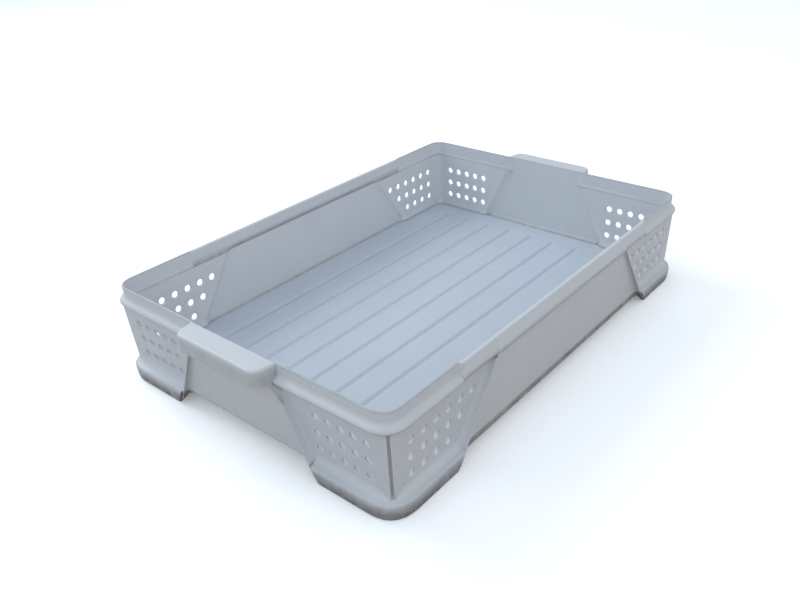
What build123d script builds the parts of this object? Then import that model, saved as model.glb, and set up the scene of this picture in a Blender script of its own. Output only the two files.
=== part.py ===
from build123d import *

import math
import os

# A shallow stacking crate, moulded in one piece and divided here at its own moulded features.
# X runs along the crate, Y across it and Z up from the surface it stands on; sizes are in mm.

# Overall sizes
LENGTH_OVER_HANDLES = 600.0
HANDLE_OVERHANG = 15.0  # each handle stands out beyond the faces of the feet
WIDTH_OVER_FEET = 400.0
HEIGHT = 114.0
WALL = 3.0
DRAFT = 0.033  # outward lean of every wall, mm for each mm of height
PLAN_RADIUS = 33.0  # round corners of the feet, which the flange and the collar follow

# Levels and depths of the floor, the flange and the rims
FLOOR_TOP = 16.8
FLOOR_THICKNESS = 2.4
FLOOR_INSET = 23.0  # floor edge, in from the faces of the feet
COLLAR_HEIGHT = 14.0
COLLAR_INSET = 7.8
COLLAR_WALL = 2.4
FLANGE_HEIGHT = 6.5
FLANGE_INSET = 2.2
LEDGE_HEIGHT = 4.5  # sloped ledge inside, from the wall out to the rim
SIDE_RIM_DROP = 4.0  # the side rims lie this much below the collars
SIDE_RIM_WALL = 4.4
COLLAR_LENGTH = 103.0  # along each side, from the faces of the feet
COLLAR_RUN_OUT = 12.0  # slope from the end of a collar down to a side rim
CREASE = 0.7  # the middle of a side rim stands proud by this much, as the ribs below it do

# Perforated corner panels and the slanted, ribbed steps beside them, measured at the underside of the flange
PANEL_INSET = 8.6  # outer face
PANEL_CORNER_RADIUS = 10.0
PANEL_FOOT_RUN = 4.0  # sloped strip along the bottom of the panels inside
PANEL_FOOT_RISE = 5.5
CORNER_GROOVE = 2.4
SIDE_PANEL_WIDTH = 150.5  # from the faces of the feet to the slanted edge
SIDE_SLANT = 0.7
SIDE_STEP = 3.2
SIDE_STEP_RUN = 9.0
END_PANEL_WIDTH = 138.0
END_SLANT = 0.49
END_STEP = 3.0
END_STEP_RUN = 5.0
RIB_WIDTH = 2.2  # along the crest
SIDE_RIB_SETBACK = 2.0  # from the slanted edge to the crest
END_RIB_SETBACK = 0.8

# Round holes in the corner panels, in three rows
HOLE_DIAMETER = 8.0
HOLE_ROWS = 3
HOLE_ROW_TOP = 72.5
HOLE_ROW_PITCH = 18.8
SIDE_HOLES_TOP = 6  # each lower row on a side has one hole less
SIDE_HOLE_INSET = 37.0
SIDE_HOLE_MARGIN = 11.8  # from the last hole of the top row to the slanted edge
END_HOLES = 5
END_HOLE_INSET = 35.5
END_HOLE_MARGIN = 12.6  # from the last hole of the bottom row to the slanted edge

# Walls between the corner panels
SIDE_WALL_BOTTOM = 10.0
SIDE_FILLET = 3.0
SIDE_EDGE_FILLET = 1.5
END_FILLET = 5.0

# Feet
FOOT_TAPER = 2.0
FOOT_FACE_BOTTOM = 9.0
FOOT_FACE_TOP = 18.0
FOOT_COVE_TOP = 28.0
FOOT_COVE_STEPS = 4
STACK_CLEARANCE = 1.3  # between a foot and the collar of the crate below

# Handles
PLATE_THICKNESS = 2.5
LIP_DEPTH = 18.5
LIP_WALL = 3.0
HANDLE_CORNER_RADIUS = 9.0
HANDLE_TAPER = 5.0  # each side of a handle leans in by this much towards its tip
WEB_REACH = 8.5  # from the crest of a rib out under the lip
WEB_DEPTH = 18.0
WEB_TOE = 0.5
WEB_STEPS = 6

# Floor grooves
GROOVES = 9
GROOVE_PITCH = 36.6
GROOVE_END_INSET = 39.0
GROOVE_WIDTH = 3.2
GROOVE_DEPTH = 0.9

HANDLE_TIP = LENGTH_OVER_HANDLES / 2
HALF_LENGTH = HANDLE_TIP - HANDLE_OVERHANG
HALF_WIDTH = WIDTH_OVER_FEET / 2
FLOOR_UNDERSIDE = FLOOR_TOP - FLOOR_THICKNESS
FLANGE_TOP = HEIGHT - COLLAR_HEIGHT
FLANGE_BOTTOM = FLANGE_TOP - FLANGE_HEIGHT
LEDGE_TOP = FLANGE_BOTTOM + LEDGE_HEIGHT
SIDE_RIM_TOP = HEIGHT - SIDE_RIM_DROP
PLATE_UNDERSIDE = HEIGHT - PLATE_THICKNESS
LIP_BOTTOM = HEIGHT - LIP_DEPTH
COLLAR_INNER_INSET = COLLAR_INSET + COLLAR_WALL
COLLAR_END = HALF_LENGTH - COLLAR_LENGTH
SIDE_RIM_HALF = COLLAR_END - COLLAR_RUN_OUT
SIDE_SLANT_TOP = HALF_LENGTH - SIDE_PANEL_WIDTH
END_SLANT_TOP = HALF_WIDTH - END_PANEL_WIDTH
HANDLE_TIP_HALF = END_SLANT_TOP - HANDLE_TAPER
HANDLE_ROOT = HALF_LENGTH - COLLAR_INNER_INSET
RIB_INSET = FLANGE_INSET - CREASE
HOLE_ROW_BOTTOM = HOLE_ROW_TOP - HOLE_ROW_PITCH * (HOLE_ROWS - 1)
GROOVE_LENGTH = 2 * (HALF_LENGTH - GROOVE_END_INSET)
REACH = LENGTH_OVER_HANDLES  # longer than any cut has to be


def panel_inset(z):
    """Inset of the panels' outer faces at a height."""
    return PANEL_INSET + DRAFT * (FLANGE_BOTTOM - z)


def side_slant(z):
    """Distance of a side panel's slanted edge from the middle of the crate at a height."""
    return SIDE_SLANT_TOP + SIDE_SLANT * (FLANGE_BOTTOM - z)


def end_slant(z):
    """Distance of an end panel's slanted edge from the middle of the crate at a height."""
    return END_SLANT_TOP + END_SLANT * (FLANGE_BOTTOM - z)


def side_wall_outer(z):
    """Distance of a side wall's outer face from the middle of the crate at a height."""
    return HALF_WIDTH - panel_inset(z) + SIDE_STEP


def end_wall_outer(z):
    """Distance of an end wall's outer face from the middle of the crate at a height."""
    return HALF_LENGTH - panel_inset(z) + END_STEP


def outline(*points):
    """Flat face with straight edges."""
    return make_face(Polyline(*points, close=True))


def mirrored_outline(*points):
    """Flat face with straight edges from its right half, given from the bottom up."""
    return outline(*points, *[(-across, up) for across, up in reversed(points)])


def along_x(face, half_length):
    """Solid with a given section across the crate, as long both ways from the middle."""
    return extrude(Plane.YZ * face, half_length, both=True)


def along_y(face, half_length):
    """Solid with a given section along the crate, as long both ways from the middle."""
    return extrude(Plane.XZ * face, half_length, both=True)


def slab(face, bottom, top):
    """Upright solid from an outline in plan."""
    return extrude(Pos(0, 0, bottom) * face, top - bottom)


def plan(inset, radius=0.0):
    """Outline in plan, a given distance in from the faces of the feet."""
    length = 2 * (HALF_LENGTH - inset)
    width = 2 * (HALF_WIDTH - inset)
    if radius:
        return RectangleRounded(length, width, radius)
    return Rectangle(length, width)


def block(*levels):
    """Solid through outlines one above the other, each a height, an inset and a corner radius."""
    return loft([Pos(0, 0, z) * plan(inset, radius) for z, inset, radius in levels], ruled=True)


def follow(inset):
    """Corner radius that keeps an inset outline parallel to the faces of the feet."""
    return PLAN_RADIUS - inset


def corner_zone():
    """Space beyond the slanted edges of the panels at one corner, from the ground to the flange."""
    side = outline(
        (side_slant(0), 0), (REACH, 0), (REACH, FLANGE_BOTTOM), (side_slant(FLANGE_BOTTOM), FLANGE_BOTTOM))
    end = outline(
        (end_slant(0), 0), (REACH, 0), (REACH, FLANGE_BOTTOM), (end_slant(FLANGE_BOTTOM), FLANGE_BOTTOM))
    return along_y(side, REACH) & along_x(end, REACH)


def rim_corner_zone():
    """Space at one corner between the end of a side rim and the side of a handle."""
    return slab(Pos(COLLAR_END, END_SLANT_TOP) * Rectangle(REACH, REACH, align=Align.MIN), 0, HEIGHT)


def panel_core():
    """Everything within the panels' outer faces, from the floor to the flange."""
    return block((FLOOR_TOP, panel_inset(FLOOR_TOP), 0), (FLANGE_BOTTOM, panel_inset(FLANGE_BOTTOM), 0))


def panel_shell():
    """Walls of the corner panels all round, with a groove up each outer corner."""
    foot_top = FLOOR_TOP + PANEL_FOOT_RISE
    space = block(
        (FLOOR_TOP, panel_inset(FLOOR_TOP) + WALL + PANEL_FOOT_RUN, PANEL_CORNER_RADIUS),
        (foot_top, panel_inset(foot_top) + WALL, PANEL_CORNER_RADIUS),
        (FLANGE_BOTTOM, panel_inset(FLANGE_BOTTOM) + WALL, PANEL_CORNER_RADIUS))
    groove = loft([
        Pos(HALF_LENGTH - panel_inset(z), HALF_WIDTH - panel_inset(z), z) * Rectangle(CORNER_GROOVE, CORNER_GROOVE)
        for z in (FLOOR_TOP, FLANGE_BOTTOM)])
    return panel_core() - space - groove


def slanted_step(corners_at):
    """Slanted, ribbed strip between a panel and the wall beside it, from its corners in plan at a height."""
    return loft([Pos(0, 0, z) * outline(*corners_at(z)) for z in (FLOOR_TOP, FLANGE_BOTTOM)], ruled=True)


def side_step_corners(z):
    """Corners in plan of the step between a side panel and its side wall."""
    x = side_slant(z)
    outer = HALF_WIDTH - panel_inset(z)
    inner = outer - WALL
    far = x - SIDE_STEP_RUN
    crest = HALF_WIDTH - RIB_INSET
    crest_x = x - SIDE_RIB_SETBACK
    return ((x, inner), (x, outer), (crest_x, crest), (crest_x - RIB_WIDTH, crest),
            (far, outer + SIDE_STEP), (far, inner + SIDE_STEP))


def end_step_corners(z):
    """Corners in plan of the step between an end panel and its end wall."""
    y = end_slant(z)
    outer = HALF_LENGTH - panel_inset(z)
    inner = outer - WALL
    far = y - END_STEP_RUN
    crest = HALF_LENGTH - RIB_INSET
    crest_y = y - END_RIB_SETBACK
    return ((inner, y), (outer, y), (crest, crest_y), (crest, crest_y - RIB_WIDTH),
            (outer + END_STEP, far), (inner + END_STEP, far))


def side_holes():
    """Drills for a side panel, one hole less in each lower row."""
    drill = Rot(X=90) * Cylinder(HOLE_DIAMETER / 2, REACH)
    first = HALF_LENGTH - SIDE_HOLE_INSET
    pitch = (first - side_slant(HOLE_ROW_TOP) - SIDE_HOLE_MARGIN) / (SIDE_HOLES_TOP - 1)
    return [
        Pos(first - pitch * k, 0, HOLE_ROW_TOP - HOLE_ROW_PITCH * row) * drill
        for row in range(HOLE_ROWS) for k in range(SIDE_HOLES_TOP - row)]


def end_holes():
    """Drills for an end panel, in even rows."""
    drill = Rot(Y=90) * Cylinder(HOLE_DIAMETER / 2, 2 * REACH)
    first = HALF_WIDTH - END_HOLE_INSET
    pitch = (first - end_slant(HOLE_ROW_BOTTOM) - END_HOLE_MARGIN) / (END_HOLES - 1)
    return [
        Pos(0, first - pitch * k, HOLE_ROW_TOP - HOLE_ROW_PITCH * row) * drill
        for row in range(HOLE_ROWS) for k in range(END_HOLES)]


def corner_panels():
    """Side panel and end panel of one corner, parted along the mitre through its outer edge."""
    shell = panel_shell() & corner_zone()
    mitre = Plane((HALF_LENGTH, HALF_WIDTH, 0), x_dir=(0, 0, 1), z_dir=(1, -1, 0))
    side = split(shell, mitre, keep=Keep.BOTTOM) + slanted_step(side_step_corners)
    end = split(shell, mitre, keep=Keep.TOP) + slanted_step(end_step_corners)
    return side - side_holes(), end - end_holes()


def foot():
    """Hollow corner foot with a cove up to the panels, open below for the collar of another crate."""
    cove_rise = FOOT_COVE_TOP - FOOT_FACE_TOP
    cove_run = panel_inset(FOOT_COVE_TOP)
    cove = []
    for step in range(1, FOOT_COVE_STEPS + 1):
        turn = math.radians(90 * step / FOOT_COVE_STEPS)
        inset = cove_run * math.sin(turn)
        cove.append((FOOT_FACE_TOP + cove_rise * (1 - math.cos(turn)), inset, follow(inset)))
    solid = block(
        (0, FOOT_TAPER, follow(FOOT_TAPER)), (FOOT_FACE_BOTTOM, 0, PLAN_RADIUS),
        (FOOT_FACE_TOP, 0, PLAN_RADIUS), *cove)
    hollow_inset = COLLAR_INSET - STACK_CLEARANCE
    hollow = slab(plan(hollow_inset, follow(hollow_inset)), 0, FLOOR_UNDERSIDE)
    middle = slab(plan(FLOOR_INSET), FLOOR_UNDERSIDE, FLOOR_TOP)
    return (solid & corner_zone()) - hollow - middle - panel_core()


def flange():
    """Shelf round one corner, outside its collar, that carries the feet of the crate above."""
    ring = slab(plan(FLANGE_INSET, follow(FLANGE_INSET)), FLANGE_BOTTOM, FLANGE_TOP)
    space = slab(plan(COLLAR_INSET, follow(COLLAR_INSET)), FLANGE_BOTTOM, FLANGE_TOP)
    return (ring - space) & rim_corner_zone()


def collar():
    """Upright rim round one corner that keeps the crate above in place, with a sloped ledge inside."""
    ring = slab(plan(COLLAR_INSET, follow(COLLAR_INSET)), FLANGE_BOTTOM, HEIGHT)
    inner_radius = follow(COLLAR_INNER_INSET)
    space = block(
        (FLANGE_BOTTOM, panel_inset(FLANGE_BOTTOM) + WALL, PANEL_CORNER_RADIUS),
        (LEDGE_TOP, COLLAR_INNER_INSET, inner_radius),
        (HEIGHT, COLLAR_INNER_INSET, inner_radius))
    return (ring - space) & rim_corner_zone()


def side_rim():
    """Rim along the middle of one side, thicker and lower than the collars that it runs into."""
    outer = HALF_WIDTH - FLANGE_INSET
    rim_inner = outer - SIDE_RIM_WALL
    collar_outer = HALF_WIDTH - COLLAR_INSET
    collar_inner = HALF_WIDTH - COLLAR_INNER_INSET
    panel_inner = HALF_WIDTH - panel_inset(FLANGE_BOTTOM) - WALL
    wall_inner = panel_inner + SIDE_STEP
    step_end = SIDE_SLANT_TOP - SIDE_STEP_RUN

    def shelf(x, foot, inner):
        points = [
            (foot, FLANGE_BOTTOM), (outer, FLANGE_BOTTOM), (outer, FLANGE_TOP),
            (inner, FLANGE_TOP), (inner, LEDGE_TOP)]
        return Pos(x, 0, 0) * (Plane.YZ * outline(*points))

    def band(x, inner, face, top):
        points = [(inner, FLANGE_TOP), (face, FLANGE_TOP), (face, top), (inner, top)]
        return Pos(x, 0, 0) * (Plane.YZ * outline(*points))

    lower = [
        (COLLAR_END, panel_inner, collar_inner), (SIDE_RIM_HALF, panel_inner, rim_inner),
        (SIDE_SLANT_TOP, panel_inner, rim_inner), (step_end, wall_inner, rim_inner)]
    upper = [(COLLAR_END, collar_inner, collar_outer, HEIGHT), (SIDE_RIM_HALF, rim_inner, outer, SIDE_RIM_TOP)]
    rim = loft([shelf(x, *rest) for x, *rest in both_ends(lower)], ruled=True)
    rim += loft([band(x, *rest) for x, *rest in both_ends(upper)], ruled=True)
    proud = mirrored_outline(*[(side_slant(z) - SIDE_STEP_RUN, z) for z in (FLANGE_BOTTOM, SIDE_RIM_TOP)])
    face = Plane.XZ.offset(-outer) * proud
    return rim + extrude(face, -CREASE)


def both_ends(sections):
    """Sections for both halves of a rim, from one end to the other."""
    return [(-x, *rest) for x, *rest in sections] + list(reversed(sections))


def rounded_at(face, point, radius):
    """Face with the corner nearest a point rounded."""
    return fillet(face.vertices().sort_by_distance(point)[0], radius)


def side_wall():
    """Plain wall between the panels of one side, with a skirt below the floor."""
    edge = HALF_WIDTH - FLOOR_INSET
    inner_foot = (side_wall_outer(FLOOR_TOP) - WALL, FLOOR_TOP)
    outer_foot = (side_wall_outer(SIDE_WALL_BOTTOM), SIDE_WALL_BOTTOM)
    section = outline(
        (edge, FLOOR_UNDERSIDE), (side_wall_outer(FLOOR_UNDERSIDE) - WALL, FLOOR_UNDERSIDE),
        (side_wall_outer(SIDE_WALL_BOTTOM) - WALL, SIDE_WALL_BOTTOM), outer_foot,
        (side_wall_outer(FLANGE_BOTTOM), FLANGE_BOTTOM), (side_wall_outer(FLANGE_BOTTOM) - WALL, FLANGE_BOTTOM),
        inner_foot, (edge, FLOOR_TOP))
    section = rounded_at(section, inner_foot, SIDE_FILLET)
    section = rounded_at(section, outer_foot, SIDE_EDGE_FILLET)
    face = mirrored_outline(
        (side_slant(SIDE_WALL_BOTTOM), SIDE_WALL_BOTTOM), (side_slant(FLOOR_TOP), FLOOR_TOP),
        (side_slant(FLOOR_TOP) - SIDE_STEP_RUN, FLOOR_TOP),
        (side_slant(FLANGE_BOTTOM) - SIDE_STEP_RUN, FLANGE_BOTTOM))
    return along_x(section, REACH) & along_y(face, REACH)


def end_wall():
    """Plain wall between the panels of one end, up to the underside of its handle."""
    edge = HALF_LENGTH - FLOOR_INSET
    inner_foot = (end_wall_outer(FLOOR_TOP) - WALL, FLOOR_TOP)
    outer_foot = (end_wall_outer(FLOOR_UNDERSIDE), FLOOR_UNDERSIDE)
    section = outline(
        (edge, FLOOR_UNDERSIDE), outer_foot, (end_wall_outer(PLATE_UNDERSIDE), PLATE_UNDERSIDE),
        (end_wall_outer(PLATE_UNDERSIDE) - WALL, PLATE_UNDERSIDE), inner_foot, (edge, FLOOR_TOP))
    section = rounded_at(section, inner_foot, END_FILLET)
    section = rounded_at(section, outer_foot, END_FILLET + WALL)
    neck = END_SLANT_TOP - END_STEP_RUN
    face = mirrored_outline(
        (end_slant(FLOOR_UNDERSIDE), FLOOR_UNDERSIDE), (end_slant(FLOOR_TOP), FLOOR_TOP),
        (end_slant(FLOOR_TOP) - END_STEP_RUN, FLOOR_TOP), (neck, FLANGE_BOTTOM), (neck, PLATE_UNDERSIDE))
    return along_y(section, REACH) & along_x(face, REACH)


def handle():
    """Hand hold on one end: a flat plate with a lip turned down round it and a curved web at each side."""
    neck = END_SLANT_TOP - END_STEP_RUN
    tip_points = [(HANDLE_TIP, HANDLE_TIP_HALF), (HANDLE_TIP, -HANDLE_TIP_HALF)]
    shape = outline((HANDLE_ROOT, END_SLANT_TOP), *tip_points, (HANDLE_ROOT, -END_SLANT_TOP))
    for point in tip_points:
        shape = rounded_at(shape, point, HANDLE_CORNER_RADIUS)
    hollow_half = HANDLE_TIP_HALF - LIP_WALL
    hollow_tip = [(HANDLE_TIP - LIP_WALL, hollow_half), (HANDLE_TIP - LIP_WALL, -hollow_half)]
    hollow = outline((0, hollow_half), *hollow_tip, (0, -hollow_half))
    for point in hollow_tip:
        hollow = rounded_at(hollow, point, HANDLE_CORNER_RADIUS - LIP_WALL)
    plate_inner = end_wall_outer(PLATE_UNDERSIDE) - WALL
    wall_and_inside = outline(
        (0, FLANGE_BOTTOM), (end_wall_outer(FLANGE_BOTTOM), FLANGE_BOTTOM),
        (end_wall_outer(PLATE_UNDERSIDE), PLATE_UNDERSIDE), (plate_inner, PLATE_UNDERSIDE),
        (plate_inner, HEIGHT), (0, HEIGHT))
    below_lip = Pos(HALF_LENGTH - FLANGE_INSET, 0) * Rectangle(REACH, REACH, align=(Align.MIN, Align.CENTER))
    grip = slab(shape, FLANGE_BOTTOM, HEIGHT) - slab(hollow, FLANGE_BOTTOM, PLATE_UNDERSIDE)
    grip -= along_y(wall_and_inside, neck)
    grip -= slab(below_lip, FLANGE_BOTTOM, LIP_BOTTOM)
    web = handle_web()
    return grip + [web, mirror(web, Plane.XZ)]


def handle_web():
    """Curved web that carries the rib at one side of an end wall out to the lip of the handle above it."""
    crest = HALF_LENGTH - RIB_INSET
    lean = HANDLE_TAPER / (HANDLE_TIP - HANDLE_ROOT)
    sections = []
    for step in range(WEB_STEPS + 1):
        turn = math.radians(90 * step / WEB_STEPS)
        z = LIP_BOTTOM - WEB_DEPTH * (1 - math.sin(turn))
        reach = WEB_REACH - (WEB_REACH - WEB_TOE) * math.cos(turn)
        y = end_slant(z) - END_RIB_SETBACK
        tip_y = y - lean * reach
        tip = crest + reach
        sections.append(Pos(0, 0, z) * outline(
            (crest, y), (tip, tip_y), (tip, tip_y - RIB_WIDTH), (crest, y - RIB_WIDTH)))
    return loft(sections, ruled=True)


def floor():
    """Flat floor with narrow grooves along it."""
    plate = slab(plan(FLOOR_INSET), FLOOR_UNDERSIDE, FLOOR_TOP)
    groove = slab(SlotOverall(GROOVE_LENGTH, GROOVE_WIDTH), FLOOR_TOP - GROOVE_DEPTH, FLOOR_TOP)
    first = -GROOVE_PITCH * (GROOVES - 1) / 2
    return plate - [Pos(0, first + GROOVE_PITCH * k, 0) * groove for k in range(GROOVES)]


def placed(shape, right, rear):
    """Copy of a shape from the rear right quarter in any quarter of the crate."""
    if not right:
        shape = mirror(shape, Plane.YZ)
    if not rear:
        shape = mirror(shape, Plane.XZ)
    return shape


def all_nodes():
    """Every sub-part by name."""
    side_panel, end_panel = corner_panels()
    corner_pieces = {
        "side_panel": side_panel, "end_panel": end_panel, "foot": foot(), "flange": flange(), "collar": collar()}
    side_pieces = {"side_wall": side_wall(), "side_rim": side_rim()}
    end_pieces = {"end_wall": end_wall(), "handle": handle()}
    nodes = {"floor": floor()}
    for rear, row in ((False, "front"), (True, "rear")):
        for name, shape in side_pieces.items():
            nodes[f"{name}_{row}"] = placed(shape, True, rear)
        for right, hand in ((False, "left"), (True, "right")):
            for name, shape in corner_pieces.items():
                nodes[f"{name}_{row}_{hand}"] = placed(shape, right, rear)
    for right, hand in ((False, "left"), (True, "right")):
        for name, shape in end_pieces.items():
            nodes[f"{name}_{hand}"] = placed(shape, right, True)
    return nodes


os.makedirs("parts", exist_ok=True)
for node, shape in all_nodes().items():
    export_step(shape, f"parts/{node}.step")
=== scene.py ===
import logging
import math
from collections.abc import Callable, Iterable, Sequence
from dataclasses import dataclass
from enum import Enum

import bmesh
import bpy
from bmesh.types import BMEdge, BMesh, BMFace, BMVert
from mathutils import Matrix, Vector


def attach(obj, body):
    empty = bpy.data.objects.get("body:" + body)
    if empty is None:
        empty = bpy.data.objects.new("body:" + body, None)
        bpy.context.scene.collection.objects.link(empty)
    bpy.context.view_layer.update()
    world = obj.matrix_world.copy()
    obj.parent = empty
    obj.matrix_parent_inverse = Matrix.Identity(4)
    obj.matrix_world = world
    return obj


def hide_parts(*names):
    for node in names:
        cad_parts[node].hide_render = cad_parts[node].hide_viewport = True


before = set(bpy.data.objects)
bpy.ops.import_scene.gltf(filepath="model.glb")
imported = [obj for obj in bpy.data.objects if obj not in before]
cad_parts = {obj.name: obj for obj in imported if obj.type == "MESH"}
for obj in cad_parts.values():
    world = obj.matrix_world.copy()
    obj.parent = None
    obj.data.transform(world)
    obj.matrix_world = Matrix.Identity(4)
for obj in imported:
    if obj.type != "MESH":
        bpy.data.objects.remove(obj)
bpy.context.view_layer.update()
LOG = logging.getLogger("crate")

MM = 0.001
MERGE = 1e-4  # vertices nearer than this, in millimetres, are one
TURN = math.tau
CRISP = math.radians(38.0)  # edges that bend more than this stay sharp


class Row(Enum):
    """Long side of the crate that a piece belongs to."""

    FRONT = -1
    REAR = 1


class Hand(Enum):
    """Short end of the crate that a piece belongs to."""

    LEFT = -1
    RIGHT = 1


@dataclass(frozen=True)
class CrateSizes:
    """Sizes that several sub-assemblies share, in millimetres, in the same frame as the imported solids."""

    half_length: float = 285.0
    half_width: float = 200.0
    height: float = 114.0
    wall: float = 3.0
    draft: float = 0.033
    plan_radius: float = 33.0
    floor_top: float = 16.8
    floor_underside: float = 14.4
    flange_bottom: float = 93.5
    flange_top: float = 100.0
    ledge_top: float = 98.0
    flange_inset: float = 2.2
    collar_inset: float = 7.8
    collar_inner: float = 10.2
    panel_inset: float = 8.6
    panel_corner: float = 10.0
    side_slant_top: float = 134.5
    side_slant: float = 0.7
    side_step: float = 3.2
    side_run: float = 9.0
    side_bottom: float = 10.0
    end_slant_top: float = 62.0
    end_slant: float = 0.49
    end_step: float = 3.0
    side_wall_end: float = 14.0
    end_wall_end: float = 10.0
    rib_inset: float = 1.5
    collar_end: float = 182.0
    handle_tip: float = 300.0

    def inset(self, z: float) -> float:
        """Inset of the corner panels' outer faces at a height."""
        return self.panel_inset + self.draft * (self.flange_bottom - z)

    def side_edge(self, z: float) -> float:
        """Distance of a side panel's slanted edge from the middle at a height."""
        return self.side_slant_top + self.side_slant * (self.flange_bottom - z)

    def end_edge(self, z: float) -> float:
        """Distance of an end panel's slanted edge from the middle at a height."""
        return self.end_slant_top + self.end_slant * (self.flange_bottom - z)

    def side_face(self, z: float) -> float:
        """Distance of a side wall's outer face from the middle at a height."""
        return self.half_width - self.inset(z) + self.side_step

    def end_face(self, z: float) -> float:
        """Distance of an end wall's outer face from the middle at a height."""
        return self.half_length - self.inset(z) + self.end_step

    @property
    def corner_centre(self) -> Vector:
        """Middle of the round corner that the feet, the flange and the collar turn about."""
        return Vector((self.half_length - self.plan_radius, self.half_width - self.plan_radius, 0.0))


SIZES = CrateSizes()


@dataclass(frozen=True)
class Corner:
    """Corner of a section: its place across and up, and how far its rounding reaches along both edges."""

    across: float
    up: float
    reach: float = 0.0
    steps: int = 4


class Mould:
    """A bmesh in millimetres that operators shape and that is turned out as finished pieces."""

    def __init__(self) -> None:
        """Start with an empty mesh."""
        self.bm: BMesh = bmesh.new()

    def section(self, corners: Sequence[Corner], place: Callable[[float, float], Vector]) -> BMFace:
        """Flat face with rounded corners.

        Args:
            corners: The section's corners in order.
            place: Turns across and up into a point of the crate.

        Returns:
            The face.
        """
        verts = [self.bm.verts.new(place(corner.across, corner.up)) for corner in corners]
        before = set(self.bm.faces)
        self.bm.faces.new(verts)
        for vert, corner in zip(verts, corners):
            if corner.reach:
                bmesh.ops.bevel(
                    self.bm, geom=[vert], offset=corner.reach, offset_type="OFFSET", affect="VERTICES",
                    segments=corner.steps, profile=0.5, material=-1)
        return next(face for face in self.bm.faces if face not in before)

    def chain(self, points: Iterable[Sequence[float]]) -> list[BMEdge]:
        """Open line of edges through a few points."""
        verts = [self.bm.verts.new(point) for point in points]
        return [self.bm.edges.new(pair) for pair in zip(verts, verts[1:])]

    def extrude(self, edges: Iterable[BMEdge], move: Sequence[float] = (0.0, 0.0, 0.0)) -> list[BMEdge]:
        """Extrude edges and move the new ones.

        Args:
            edges: Edges to extrude.
            move: How far the new edges move.

        Returns:
            The new edges.
        """
        geom = bmesh.ops.extrude_edge_only(self.bm, edges=list(edges))["geom"]
        fresh = {item for item in geom if isinstance(item, BMVert)}
        bmesh.ops.translate(self.bm, verts=list(fresh), vec=Vector(move))
        return [item for item in geom if isinstance(item, BMEdge) and set(item.verts) <= fresh]

    def turn(self, edges: Iterable[BMEdge], centre: Vector, angle: float, steps: int) -> list[BMEdge]:
        """Spin edges about an upright axis.

        Args:
            edges: Edges to spin.
            centre: A point on the axis.
            angle: How far they turn, seen from above.
            steps: Number of segments.

        Returns:
            The edges at the end of the turn.
        """
        edges = list(edges)
        last = bmesh.ops.spin(
            self.bm, geom=edges + verts_of(edges), cent=centre, axis=(0.0, 0.0, 1.0), dvec=(0.0, 0.0, 0.0),
            angle=angle, steps=steps, use_merge=False)["geom_last"]
        return [item for item in last if isinstance(item, BMEdge)]

    def cap(self, loop: Iterable[BMEdge]) -> None:
        """Close a loop of edges with one face."""
        bmesh.ops.edgeloop_fill(self.bm, edges=list(loop))

    def loft(self, faces: list[BMFace]) -> None:
        """Bridge sections one after the other, of which only the first and the last stay as faces."""
        loops = [list(face.edges) for face in faces]
        bmesh.ops.delete(self.bm, geom=faces[1:-1], context="FACES_ONLY")
        for here, there in zip(loops, loops[1:]):
            bmesh.ops.bridge_loops(self.bm, edges=here + there)

    def tidy(self) -> None:
        """Merge doubles and turn all faces outwards."""
        bmesh.ops.remove_doubles(self.bm, verts=self.bm.verts, dist=MERGE)
        bmesh.ops.recalc_face_normals(self.bm, faces=self.bm.faces)

    def turn_out(self, name: str, material: bpy.types.Material, nodes: Sequence[str],
                 hand: Hand = Hand.RIGHT, row: Row = Row.REAR) -> bpy.types.Object:
        """Finished piece from a copy of the mesh, mirrored into its place.

        Args:
            name: The piece's name.
            material: Its finish.
            nodes: CAD nodes that it stands for.
            hand: Short end that it belongs to.
            row: Long side that it belongs to.

        Returns:
            The piece.
        """
        copy = self.bm.copy()
        bmesh.ops.scale(copy, verts=copy.verts, vec=(hand.value * MM, row.value * MM, MM))
        bmesh.ops.recalc_face_normals(copy, faces=copy.faces)
        mesh = bpy.data.meshes.new(name)
        copy.to_mesh(mesh)
        copy.free()
        mesh.shade_smooth()
        mesh.set_sharp_from_angle(angle=CRISP)
        mesh.materials.append(material)
        piece = bpy.data.objects.new(name, mesh)
        bpy.context.scene.collection.objects.link(piece)
        evened = piece.modifiers.new("even_shading", "WEIGHTED_NORMAL")
        evened.keep_sharp = True
        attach(piece, "root")
        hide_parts(*nodes)
        LOG.info("%s: %d faces", name, len(mesh.polygons))
        return piece

    def turn_out_corners(self, name: str, material: bpy.types.Material, kinds: Sequence[str]) -> None:
        """Four finished pieces, one at each corner of the crate.

        Args:
            name: What the pieces' names start with.
            material: Their finish.
            kinds: What the names of the CAD nodes that each stands for start with.
        """
        for row in Row:
            for hand in Hand:
                place = f"{row.name}_{hand.name}".lower()
                self.turn_out(f"{name}_{place}", material, [f"{kind}_{place}" for kind in kinds], hand, row)


def verts_of(items: Iterable[BMEdge | BMFace]) -> list[BMVert]:
    """Vertices of edges or faces, each once and in a steady order."""
    return list(dict.fromkeys(vert for item in items for vert in item.verts))


def fill_corner(verts: Iterable[BMVert], amount: Callable[[float], float]) -> None:
    """Push a round corner out along its diagonal, which gives it a slightly tighter turn.

    Args:
        verts: Vertices of the piece. Those outside the turn stay where they are.
        amount: How far the diagonal moves, by height.
    """
    centre = SIZES.corner_centre
    for vert in verts:
        ray = (vert.co - centre).xy
        if min(ray) > MERGE:
            ray.normalize()
            vert.co.xy += ray * amount(vert.co.z) * (2.0 * ray.x * ray.y) ** 2


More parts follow.
